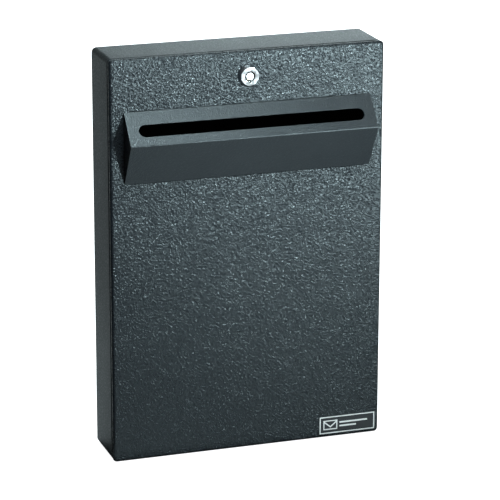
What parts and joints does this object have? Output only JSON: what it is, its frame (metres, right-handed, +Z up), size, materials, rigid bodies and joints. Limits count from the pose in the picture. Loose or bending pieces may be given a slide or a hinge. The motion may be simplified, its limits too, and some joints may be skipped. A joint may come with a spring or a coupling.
{
  "type": "wall-mounted drop box",
  "caption": "Slim steel wall drop box for mail and keys, with a hooded slot in a hinged front door and a tubular cam lock.",
  "frame": {"origin": "centre of the four wall holes, on the back face of the back panel", "axes": "+Z up, +Y into the wall, +X to the right of someone who faces the door"},
  "size_m": [0.28, 0.0846, 0.4064],
  "materials": {
    "case_paint": "charcoal powder coat with a fine leather grain, satin",
    "door_paint": "charcoal powder coat with a leather grain, satin",
    "hood_paint": "charcoal powder coat, smoother than the door, satin",
    "inner_paint": "thin charcoal powder coat on the inner sheets",
    "hinge_paint": "powder-coated piano hinge, worn at the knuckles",
    "pin_steel": "bright drawn wire",
    "rubber": "matt black rubber",
    "chrome": "bright chrome on zinc die casting",
    "core_steel": "bright turned steel",
    "zinc": "clear zinc plate",
    "brass": "plain turned brass",
    "plate_black": "black anodised aluminium",
    "plate_white": "white printed ink"
  },
  "bodies": {
    "case": {"case_wrap": "case_paint", "back_panel": "inner_paint", "door_bumpers": "rubber", "hinge_case_leaf": "hinge_paint", "hinge_pin": "pin_steel"},
    "door": {"door_panel": "door_paint", "hood_shell": "hood_paint", "hood_end_left": "hood_paint", "hood_end_right": "hood_paint", "chute_baffle": "inner_paint", "hinge_door_leaf": "hinge_paint", "nameplate": "plate_black", "nameplate_marks": "plate_white", "lock_housing": "chrome", "lock_washer": "zinc", "lock_nut": "zinc"},
    "lock": {"lock_core": "core_steel", "lock_pins": "brass", "cam_stop_washer": "zinc", "lock_cam": "zinc", "cam_spring_washer": "zinc", "cam_screw": "zinc"}
  },
  "joints": [
    {"name": "door_swing", "type": "hinge", "parent": "case", "child": "door", "pos_m": [0.1388, -0.05635, 0], "axis": [0, 0, 1], "range_deg": [0, 130]},
    {"name": "lock_turn", "type": "hinge", "parent": "door", "child": "lock", "pos_m": [0, -0.055, 0.1786], "axis": [0, 1, 0], "range_deg": [0, 90]}
  ]
}
